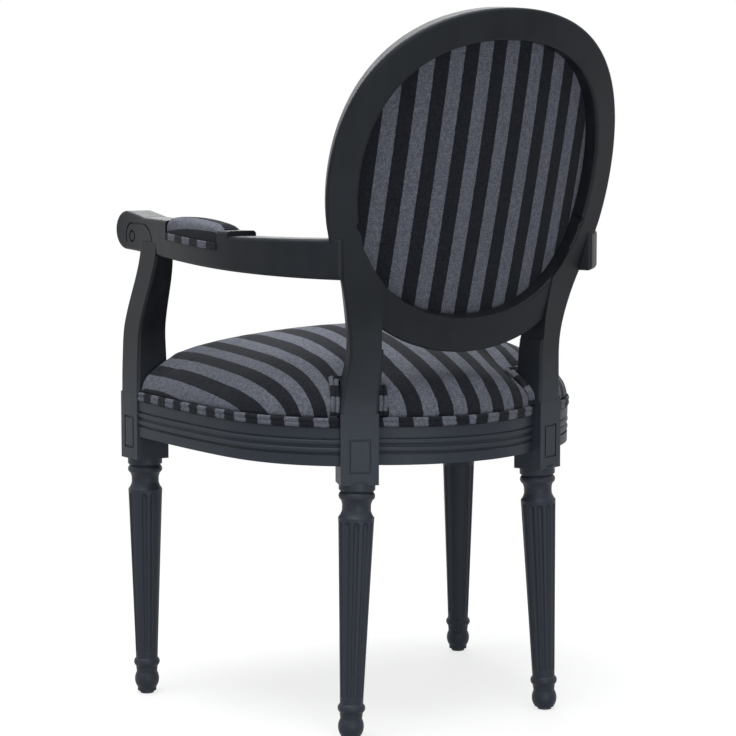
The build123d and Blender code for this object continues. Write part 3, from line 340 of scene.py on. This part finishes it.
def black_paint():
    """Satin black paint, painted lighter and bluer low down as painted light from below, rubbed brown at
    the edges low down, with a few pale chips.
    """
    f = Finish("black_paint")
    rounded = f.node("ShaderNodeBevel", {"samples": 6}, {"Radius": 0.0022})
    plain = f.node("ShaderNodeNewGeometry", output="Normal")
    edge = 1 - f.node("ShaderNodeVectorMath", {"operation": "DOT_PRODUCT"}, {0: rounded, 1: plain},
                      output="Value")
    cloudy = f.noise(9.0, 3.0)
    streaks = f.noise(60.0, 3.0, (1, 1, 0.12))
    here = f.node("ShaderNodeTexCoord", output="Object")
    height = f.node("ShaderNodeSeparateXYZ", inputs={0: here}, output="Z")
    # Mask of the lower parts: it places both the painted light from below and the rubbed wear
    low = 1 - height.ramp(0.40, 0.54)
    rubbed = f.noise(7.0, 2.0).ramp(0.50, 0.66) * low
    worn = (edge * 2.2 + f.noise(38.0, 4.0) * 1.2 + cloudy * 0.6 - 1.25).ramp(0.12, 0.42) * rubbed
    chipped = (edge * 3.0 + f.noise(130.0, 2.0) * 1.6 - 1.75).ramp(0.34, 0.40) * rubbed
    body = f.mix(cloudy.ramp(0.35, 0.7), (0.0052, 0.0060, 0.0078, 1), (0.0092, 0.0104, 0.0130, 1))
    body = f.mix(streaks.ramp(0.3, 0.75) * 0.4, body, (0.0130, 0.0146, 0.0180, 1))
    # Painted light: the lower parts are painted lighter and bluer, standing in for light bounced up from
    # the floor
    body = f.mix(low * 0.85, body, (0.026, 0.031, 0.040, 1))
    body = f.mix(worn * 0.45, body, (0.060, 0.043, 0.032, 1))
    body = f.mix(chipped * 0.5, body, (0.30, 0.27, 0.23, 1))
    rough = streaks * 0.16 + cloudy * 0.10 + 0.34
    skin = f.noise(420.0, 2.0) * 0.35 + streaks * 0.65
    return f.paint({"Base Color": body, "Roughness": rough, "Specular IOR Level": 0.17,
                    "Specular Tint": (0.86, 0.94, 1, 1), "Normal": f.bump(skin, 0.10, 0.0006)})


def striped_cloth():
    """Woven cloth in heathered grey and black stripes."""
    f = Finish("striped_cloth")
    across = f.attribute("across")
    length = f.attribute("along")
    ragged = (f.noise(160.0, 2.0) - 0.5) * 0.0016
    place = ((across + ragged) * (1 / STRIPE) + 0.5).part()
    grey = 1 - abs(place - 0.5).ramp(0.236, 0.260)
    heather = f.noise(620.0, 3.0)
    slub = f.noise(190.0, 2.0)
    weft = (across.wave(WEAVE) + 1) * 0.5
    warp = (length.wave(WEAVE) + 1) * 0.5
    weave = weft * warp
    fleck = (heather * 0.7 + slub * 0.3 + weave * 0.16).ramp(0.40, 0.72)
    pale = f.mix(fleck, (0.056, 0.060, 0.074, 1), (0.136, 0.145, 0.174, 1))
    dark = f.mix(fleck, (0.0046, 0.0054, 0.0080, 1), (0.0148, 0.0168, 0.0230, 1))
    colour = f.mix(grey, dark, pale)
    height = weave * 0.7 + heather * 0.5
    return f.paint({"Base Color": colour, "Roughness": 0.86 + slub * 0.08, "Sheen Weight": 0.05,
                    "Sheen Roughness": 0.5, "Specular IOR Level": 0.10,
                    "Normal": f.bump(height, 0.45, 0.0007)})


def bare_wood():
    """Bare hardwood of the hidden joinery, with its grain."""
    f = Finish("bare_wood")
    grain = f.noise(90.0, 4.0, (1, 1, 0.1))
    body = f.mix(grain.ramp(0.3, 0.7), (0.42, 0.29, 0.17, 1), (0.60, 0.45, 0.29, 1))
    return f.paint({"Base Color": body, "Roughness": 0.6 + grain * 0.2,
                    "Normal": f.bump(grain, 0.2, 0.0005)})


def screw_steel():
    """Plain turned steel."""
    f = Finish("screw_steel")
    marks = f.noise(700.0, 2.0)
    body = f.mix(marks, (0.42, 0.42, 0.43, 1), (0.62, 0.62, 0.63, 1))
    return f.paint({"Base Color": body, "Metallic": 1.0, "Roughness": 0.3 + marks * 0.2})


def glide_plastic():
    """Scuffed black plastic of the glides."""
    f = Finish("glide_plastic")
    scuff = f.noise(240.0, 4.0)
    body = f.mix(scuff.ramp(0.5, 0.75), (0.012, 0.012, 0.012, 1), (0.07, 0.068, 0.065, 1))
    return f.paint({"Base Color": body, "Roughness": 0.45 + scuff * 0.3})


def dust_cloth():
    """Thin black lining cloth under the seat."""
    f = Finish("dust_cloth")
    felt = f.noise(900.0, 3.0)
    body = f.mix(felt, (0.010, 0.010, 0.011, 1), (0.040, 0.040, 0.042, 1))
    return f.paint({"Base Color": body, "Roughness": 0.95, "Normal": f.bump(felt, 0.4, 0.0005)})


def jute_web():
    """Woven jute webbing."""
    f = Finish("jute_web")
    here = f.node("ShaderNodeTexCoord", output="Object")
    across, along = (f.node("ShaderNodeSeparateXYZ", inputs={0: here}, output=axis) for axis in "XY")
    threads = across.wave(0.004) * along.wave(0.004) * 0.5 + 0.5
    body = f.mix(threads * 0.6 + f.noise(300.0) * 0.4, (0.20, 0.14, 0.08, 1), (0.46, 0.36, 0.23, 1))
    return f.paint({"Base Color": body, "Roughness": 0.95, "Normal": f.bump(threads, 0.6, 0.001)})


# Mesh helpers

def settle(bm, name):
    """Turn a bmesh into an object at the origin."""
    mesh = bpy.data.meshes.new(name)
    bm.to_mesh(mesh)
    bm.free()
    made = bpy.data.objects.new(name, mesh)
    bpy.context.scene.collection.objects.link(made)
    return made


def copy_of(name, node):
    """New object with the merged mesh of a CAD node."""
    bm = bmesh.new()
    bm.from_mesh(nodes[node].data)
    bmesh.ops.remove_doubles(bm, verts=bm.verts, dist=1e-5)
    return settle(bm, name)


def apply_all(piece):
    """Make what the modifiers show the piece's own mesh."""
    bpy.context.view_layer.update()
    shown = piece.evaluated_get(bpy.context.evaluated_depsgraph_get())
    mesh = bpy.data.meshes.new_from_object(shown)
    piece.modifiers.clear()
    piece.data = mesh


def remesh(piece, voxel):
    """Even skin of small squares over a piece."""
    modifier = piece.modifiers.new("remesh", "REMESH")
    modifier.mode = "VOXEL"
    modifier.voxel_size = voxel
    apply_all(piece)


def soften(piece, rounds, free=None):
    """Rub the hard edges off, all over or only where points are free."""
    bm = bmesh.new()
    bm.from_mesh(piece.data)
    verts = [vert for vert in bm.verts if free is None or free[vert.index]]
    for _ in range(rounds):
        bmesh.ops.smooth_vert(bm, verts=verts, factor=0.5, use_axis_x=True, use_axis_y=True,
                              use_axis_z=True)
    bm.to_mesh(piece.data)
    bm.free()


def points_of(mesh):
    """Vertex places as an array."""
    found = np.empty(len(mesh.vertices) * 3)
    mesh.vertices.foreach_get("co", found)
    return found.reshape(-1, 3)


def normals_of(mesh):
    """Vertex normals as an array."""
    found = np.empty(len(mesh.vertices) * 3)
    mesh.vertex_normals.foreach_get("vector", found)
    return found.reshape(-1, 3)


def move_points(mesh, places):
    mesh.vertices.foreach_set("co", places.astype(np.float32).ravel())
    mesh.update()


def swell(piece, cap, held):
    """Blow the piece up as cloth, holding some points, and let no point move past a cap."""
    scene = bpy.context.scene
    rest = points_of(piece.data)
    group = piece.vertex_groups.new(name="held")
    group.add([int(index) for index in np.nonzero(held)[0]], 1.0, "REPLACE")
    modifier = piece.modifiers.new("cloth", "CLOTH")
    settings = modifier.settings
    settings.quality = 4
    settings.use_pressure = True
    settings.uniform_pressure_force = PRESSURE
    settings.vertex_group_mass = "held"
    settings.effector_weights.gravity = 0
    modifier.point_cache.frame_start = 1
    modifier.point_cache.frame_end = SWELL_FRAMES
    for step in range(1, SWELL_FRAMES + 1):
        scene.frame_set(step)
    apply_all(piece)
    scene.frame_set(1)
    moved = points_of(piece.data) - rest
    reach = np.linalg.norm(moved, axis=1, keepdims=True)
    move_points(piece.data, rest + moved * np.minimum(1.0, cap / np.maximum(reach, 1e-9)))


def smooth_faces(piece):
    piece.data.polygons.foreach_set("use_smooth", [True] * len(piece.data.polygons))
    piece.data.update()


def divide(piece):
    """One round of subdivision."""
    modifier = piece.modifiers.new("divide", "SUBSURF")
    modifier.levels = 1
    modifier.render_levels = 1
    apply_all(piece)


def thread(piece, across, along):
    """Keep where each point lies across and along the stripes of the cloth."""
    for name, values in (("across", across), ("along", along)):
        layer = piece.data.attributes.new(name, "FLOAT", "POINT")
        layer.data.foreach_set("value", np.asarray(values, np.float32))


def dress(piece, finish, slot, *stands_for):
    """Give a finished piece its material and its body, and hide the nodes it stands for; the slot is not
    used.
    """
    smooth_faces(piece)
    piece.data.materials.clear()
    piece.data.materials.append(finish)
    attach(piece, "root")
    if stands_for:
        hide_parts(*stands_for)


def run_round(flat):
    """Length along a closed line round the origin, from its +Y side, for points given in its plane."""
    angle = np.abs(np.arctan2(flat[:, 0], flat[:, 1]))
    radius = np.hypot(flat[:, 0], flat[:, 1])
    steps = np.linspace(0, math.pi, WELT_BINS + 1)
    bins = np.clip(np.digitize(angle, steps) - 1, 0, WELT_BINS - 1)
    total = np.bincount(bins, radius, WELT_BINS)
    count = np.bincount(bins, minlength=WELT_BINS)
    middles = (steps[:-1] + steps[1:]) / 2
    filled = count > 0
    mean = np.interp(middles, middles[filled], total[filled] / count[filled])
    line = np.stack([mean * np.sin(middles), mean * np.cos(middles)], 1)
    lengths = np.concatenate([[0], np.cumsum(np.linalg.norm(np.diff(line, axis=0), axis=1))])
    return np.interp(angle, middles, lengths)


# Back

def ring_radius(angle):
    return RING_RADIUS * (1 - SQUARENESS * np.cos(4 * angle))


def on_back(across, up, depth):
    """Points of the bent, reclined back: wrapped place on its rear face and depth in front of it."""
    turn = across / BEND
    side = (BEND - depth) * np.sin(turn)
    out = (BEND - depth) * np.cos(turn) - BEND
    y = RING_Y + up * math.sin(RECLINE) + out * math.cos(RECLINE)
    return np.stack([side, y, RING_Z + up * math.cos(RECLINE) - out * math.sin(RECLINE)], 1)


def off_back(places):
    """The reverse of on_back."""
    y = places[:, 1] - RING_Y
    z = places[:, 2] - RING_Z
    out = y * math.cos(RECLINE) - z * math.sin(RECLINE)
    up = y * math.sin(RECLINE) + z * math.cos(RECLINE)
    turn = np.arctan2(places[:, 0], out + BEND)
    return turn * BEND, up, BEND - np.hypot(places[:, 0], out + BEND)


def outer_back(cloth):
    """Cloth stretched over the outside of the back, inside the ring."""
    bm = bmesh.new()
    bmesh.ops.create_grid(bm, x_segments=PANEL_CELLS, y_segments=PANEL_CELLS, size=1)
    panel = settle(bm, "outer_back")
    square = points_of(panel.data)
    x = square[:, 0] * np.sqrt(1 - square[:, 1] ** 2 / 2)
    y = square[:, 1] * np.sqrt(1 - square[:, 0] ** 2 / 2)
    angle = np.arctan2(y, x)
    share = np.minimum(np.hypot(x, y), 1)
    radius = share * (ring_radius(angle) + PANEL_TUCK)
    across = radius * np.cos(angle)
    up = radius * np.sin(angle)
    depth = PANEL_RECESS - PANEL_PUFF * (1 - share ** 2)
    move_points(panel.data, on_back(across, up, depth))
    thread(panel, across - BACK_STRIPE_AT, up)
    bm = bmesh.new()
    bm.from_mesh(panel.data)
    bmesh.ops.recalc_face_normals(bm, faces=bm.faces)
    centre = Vector((0, RING_Y, RING_Z))
    middle = min(bm.faces, key=lambda face: (face.calc_center_median() - centre).length)
    if middle.normal.y < 0:
        bmesh.ops.reverse_faces(bm, faces=bm.faces)
    bm.to_mesh(panel.data)
    bm.free()
    modifier = panel.modifiers.new("cloth", "SOLIDIFY")
    modifier.thickness = PANEL_CLOTH
    modifier.offset = -1
    apply_all(panel)
    dress(panel, cloth, "striped_fabric", "back_panel", "back_liner")


def inner_back(cloth):
    """Swelling pad on the front of the back."""
    pad = copy_of("inner_back", "back_foam")
    remesh(pad, BACK_VOXEL)
    soften(pad, 4)
    across, up, depth = off_back(points_of(pad.data))
    rim = np.hypot(across, up) > RING_RADIUS - BACK_RIM
    swell(pad, BACK_SWELL, (depth < BACK_HELD) | (rim & (depth < BACK_RIM_HELD)))
    soften(pad, 3)
    divide(pad)
    across, up, _ = off_back(points_of(pad.data))
    thread(pad, across - BACK_STRIPE_AT, up)
    dress(pad, cloth, "striped_fabric", "back_cover", "back_foam")


# Seat and arm pads

def seat_height(places):
    """Heights on the seat as they were before its fall to the back."""
    return places[:, 2] + (places[:, 1] - SHIFT_Y) * SEAT_FALL


def rim_inset(places, band):
    """How far points lie in from the seat's edge in plan, given which of them lie on the edge."""
    turn = np.arctan2(places[:, 1] - SHIFT_Y, places[:, 0])
    radius = np.hypot(places[:, 0], places[:, 1] - SHIFT_Y)
    bins = ((turn + math.pi) / (2 * math.pi) * RIM_BINS).astype(int) % RIM_BINS
    reach = np.zeros(RIM_BINS)
    np.maximum.at(reach, bins[band], radius[band])
    return reach[bins] - radius


def seat_cushion(cloth):
    """Domed seat cushion, drawn tight over its edge and down behind the welt."""
    cushion = copy_of("seat_cushion", "seat_foam")
    places = points_of(cushion.data)
    height = seat_height(places)
    places[:, 2] -= np.where(height < SEAT_UNDER + SEAT_UNDER_SLACK, height - SEAT_LIP, 0)
    move_points(cushion.data, places)
    remesh(cushion, SEAT_VOXEL)
    places = points_of(cushion.data)
    height = seat_height(places)
    edge = (height > SEAT_EDGE[0]) & (height < SEAT_EDGE[1])
    inner = rim_inset(places, edge) > SEAT_TURNED
    places[:, 2] += np.where(inner & (height < SEAT_UNDER), SEAT_UNDER - height, 0)
    move_points(cushion.data, places)
    height = seat_height(places)
    soften(cushion, 5, free=height > SEAT_EDGE[0])
    swell(cushion, SEAT_SWELL, height < SEAT_HELD)
    soften(cushion, 3, free=height > SEAT_EDGE[0])
    places = points_of(cushion.data)
    drop = np.maximum(0, SEAT_CROWN - SEAT_DOME - seat_height(places))
    towards = np.stack([(places[:, 0] / SEAT_HALF[0]) ** 3 / SEAT_HALF[0],
                        ((places[:, 1] - SHIFT_Y) / SEAT_HALF[1]) ** 3 / SEAT_HALF[1]])
    flank = towards[0] ** 2 / (towards[0] ** 2 + towards[1] ** 2 + 1e-9)
    side = places[:, 0] + np.sign(places[:, 0]) * SEAT_WRAP * drop * flank
    ahead = places[:, 1] + np.sign(places[:, 1]) * SEAT_WRAP * drop * (1 - flank)
    thread(cushion, side - SEAT_STRIPE_AT, ahead)
    dress(cushion, cloth, "striped_fabric", "seat_cover", "seat_foam")
    return cushion


def arm_cushion(side, cloth):
    """Small crowned pad in the recess of an arm."""
    node = "arm_pad_foam_" + side
    cover = "arm_pad_cover_" + side
    pad = copy_of("arm_cushion_" + side, node)
    low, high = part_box(cover)
    remesh(pad, PAD_VOXEL)
    soften(pad, 3)
    swell(pad, PAD_SWELL, normals_of(pad.data)[:, 2] < PAD_UNDERSIDE)
    soften(pad, 2)
    divide(pad)
    places = points_of(pad.data)
    normals = normals_of(pad.data)
    middle = (low.y + high.y) / 2
    filled = middle + (places[:, 1] - middle) * PAD_FILL
    places[:, 1] = np.clip(filled, low.y, high.y)
    move_points(pad.data, places)
    out = np.abs(places[:, 0]) - PAD_MIDDLE
    drop = np.maximum(0, high.z - PAD_DOME - places[:, 2])
    wall = normals[:, 0] ** 2 / (normals[:, 0] ** 2 + normals[:, 1] ** 2 + 1e-6)
    thread(pad, out + np.sign(out) * drop * wall - PAD_STRIPE_AT, places[:, 1])
    dress(pad, cloth, "striped_fabric", cover, node)


# Welts

def welt(name, node, voxel, cloth, run):
    """Double welt over a CAD run, with the stripes cut across it."""
    piece = copy_of(name, node)
    remesh(piece, voxel)
    soften(piece, 2)
    places = points_of(piece.data)
    length, height = run(places)
    thread(piece, length, height)
    dress(piece, cloth, "welt_fabric", node)


def seat_run(places):
    """Length along the seat's edge, the lower cord set off a little from the upper one."""
    length = run_round(places[:, :2] - (0, SHIFT_Y))
    height = seat_height(places) - SEAT_WELT
    behind = (np.abs(places[:, 0]) < UPRIGHT_AT[0]) & (places[:, 1] > SHIFT_Y)
    start = np.where(behind, REAR_DASH_AT, EDGE_DASH_AT)
    return (length + np.where(height > 0, 0.0, CORD_SLIP) - start) * (STRIPE / EDGE_DASH), height


def back_run(places):
    """Length along the back ring from its top, and distance out from the ring's opening."""
    across, up, _ = off_back(places)
    angle = np.arctan2(up, across)
    return run_round(np.stack([across, up], 1)), np.hypot(across, up) - ring_radius(angle)


def arm_run(places):
    return (places[:, 1] - SHIFT_Y - ARM_DASH_AT) * (STRIPE / ARM_DASH), places[:, 2]


def beside_upright(along, back, height):
    """Place in plan beside the left upright at a height, given across and behind its middle."""
    lift = height - SEAT_LIP
    sine, cosine = math.sin(UPRIGHT_TURN), math.cos(UPRIGHT_TURN)
    x = UPRIGHT_AT[0] + UPRIGHT_LEAN[0] * lift + along * cosine + back * sine
    y = UPRIGHT_AT[1] + UPRIGHT_LEAN[1] * lift - along * sine + back * cosine
    return x, y


def notch_profile(hand, skin, along):
    """How far back and how high the cushion lies beside an upright, from its rear foot to its front."""
    ahead = UPRIGHT_HALF[1] + NOTCH_CLEAR
    base = SEAT_UNDER + NOTCH_CORD
    x, y = beside_upright(along, -ahead, base)
    behind = Vector((hand * math.sin(UPRIGHT_TURN), math.cos(UPRIGHT_TURN), 0))
    profile = []
    for step in range(NOTCH_STEPS + 1):
        rise = math.pi / 2 * step / NOTCH_STEPS
        level = math.cos(rise)
        towards = behind * level + Vector((0, 0, math.sin(rise)))
        reach = skin.ray_cast(Vector((hand * x, y, base)), towards)[3] + NOTCH_LIFT
        profile.append((reach * level - ahead, base + reach * math.sin(rise)))
    return profile


def notch_route(hand, skin, off):
    """Line of a cord round three sides of an upright, on the sitter's left (1) or right (-1)."""
    front = -UPRIGHT_HALF[1] - off
    sides = []
    for way in (1, -1):
        profile = notch_profile(hand, skin, way * (UPRIGHT_HALF[0] + NOTCH_CLEAR))
        kept = [(back, height) for back, height in profile if back > front]
        kept = [(kept[0][0], SEAT_LIP), *kept, (front, kept[-1][1])]
        sides.append([(way * (UPRIGHT_HALF[0] + off), back, height) for back, height in kept])
    route = []
    for along, back, height in sides[0] + sides[1][::-1]:
        x, y = beside_upright(along, back, height)
        route.append((hand * x, y, height))
    return np.array(route)


def upright_welt(side, cushion, cloth):
    """Two cords sewn along the edge of the seat where it is cut out round an upright."""
    name = "upright_welt_" + side
    bm = bmesh.new()
    bm.from_mesh(cushion.data)
    skin = BVHTree.FromBMesh(bm)
    bm.free()
    data = bpy.data.curves.new(name, "CURVE")
    data.dimensions = "3D"
    data.bevel_depth = NOTCH_CORD
    data.bevel_resolution = 3
    data.use_fill_caps = True
    for off in (NOTCH_CORD, 3 * NOTCH_CORD):
        route = notch_route(1 if side == "left" else -1, skin, off)
        line = data.splines.new("NURBS")
        line.points.add(len(route) - 1)
        for point, place in zip(line.points, route):
            point.co = (*place, 1)
        line.order_u = 4
        line.use_endpoint_u = True
        line.resolution_u = 3
    curve = bpy.data.objects.new(name + "_line", data)
    bpy.context.scene.collection.objects.link(curve)
    bpy.context.view_layer.update()
    shown = curve.evaluated_get(bpy.context.evaluated_depsgraph_get())
    piece = bpy.data.objects.new(name, bpy.data.meshes.new_from_object(shown))
    bpy.data.objects.remove(curve)
    bpy.context.scene.collection.objects.link(piece)
    lengths = np.concatenate([[0], np.cumsum(np.linalg.norm(np.diff(route, axis=0), axis=1))])
    marks = np.linspace(0, lengths[-1], NOTCH_MARKS)
    stops = np.stack([np.interp(marks, lengths, route[:, axis]) for axis in range(3)], 1)
    places = points_of(piece.data)
    nearest = marks[np.linalg.norm(places[:, None] - stops[None], axis=2).argmin(axis=1)]
    from_foot = np.minimum(nearest, lengths[-1] - nearest)
    thread(piece, (from_foot - NOTCH_DASH_AT) * (STRIPE / EDGE_DASH), places[:, 2])
    dress(piece, cloth, "welt_fabric")


# Under the seat

def flat_cloth(name, node, finish, slot, sag):
    """Cloth pieces under the seat, cut into a grid and hung a little between their edges."""
    piece = copy_of(name, node)
    bm = bmesh.new()
    bm.from_mesh(piece.data)
    bmesh.ops.dissolve_limit(bm, angle_limit=math.radians(1), verts=bm.verts, edges=bm.edges)
    for axis in (Vector((1, 0, 0)), Vector((0, 1, 0))):
        for step in range(-UNDER_CUTS, UNDER_CUTS + 1):
            everything = bm.verts[:] + bm.edges[:] + bm.faces[:]
            cut = axis * (UNDER_HALF[0] * step / (UNDER_CUTS + 0.5))
            bmesh.ops.bisect_plane(bm, geom=everything, plane_co=cut, plane_no=axis)
    for vert in bm.verts:
        x, y = vert.co.x / UNDER_HALF[0], (vert.co.y - SHIFT_Y) / UNDER_HALF[1]
        vert.co.z -= sag * max(0, 1 - x * x) * max(0, 1 - y * y)
    bm.to_mesh(piece.data)
    bm.free()
    dress(piece, finish, slot, node)
    piece.data.polygons.foreach_set("use_smooth", [False] * len(piece.data.polygons))
    return piece


# Put it all together

place_camera()
light_stage()

paint = black_paint()
cloth = striped_cloth()
wood = bare_wood()
steel = screw_steel()
plastic = glide_plastic()
finish_of_slot = {"painted_wood": paint, "bare_wood": wood, "screw_steel": steel, "glide_plastic": plastic}
for row in frame["record"]["subparts"]:
    if row["material_slot"] in finish_of_slot:
        data = nodes[row["node"]].data
        data.materials.clear()
        data.materials.append(finish_of_slot[row["material_slot"]])

outer_back(cloth)
inner_back(cloth)
cushion = seat_cushion(cloth)
for side in ("left", "right"):
    upright_welt(side, cushion, cloth)
    arm_cushion(side, cloth)
    welt("arm_welt_" + side, "arm_pad_welt_" + side, ARM_WELT_VOXEL, cloth, arm_run)
welt("edge_welt", "seat_welt", WELT_VOXEL, cloth, seat_run)
welt("ring_welt", "back_welt", WELT_VOXEL, cloth, back_run)
lining = flat_cloth("lining_cloth", "dust_cover", dust_cloth(), "dust_cloth", LINING_SAG)
flat_cloth("web_straps", "seat_webbing", jute_web(), "webbing", 0.0)
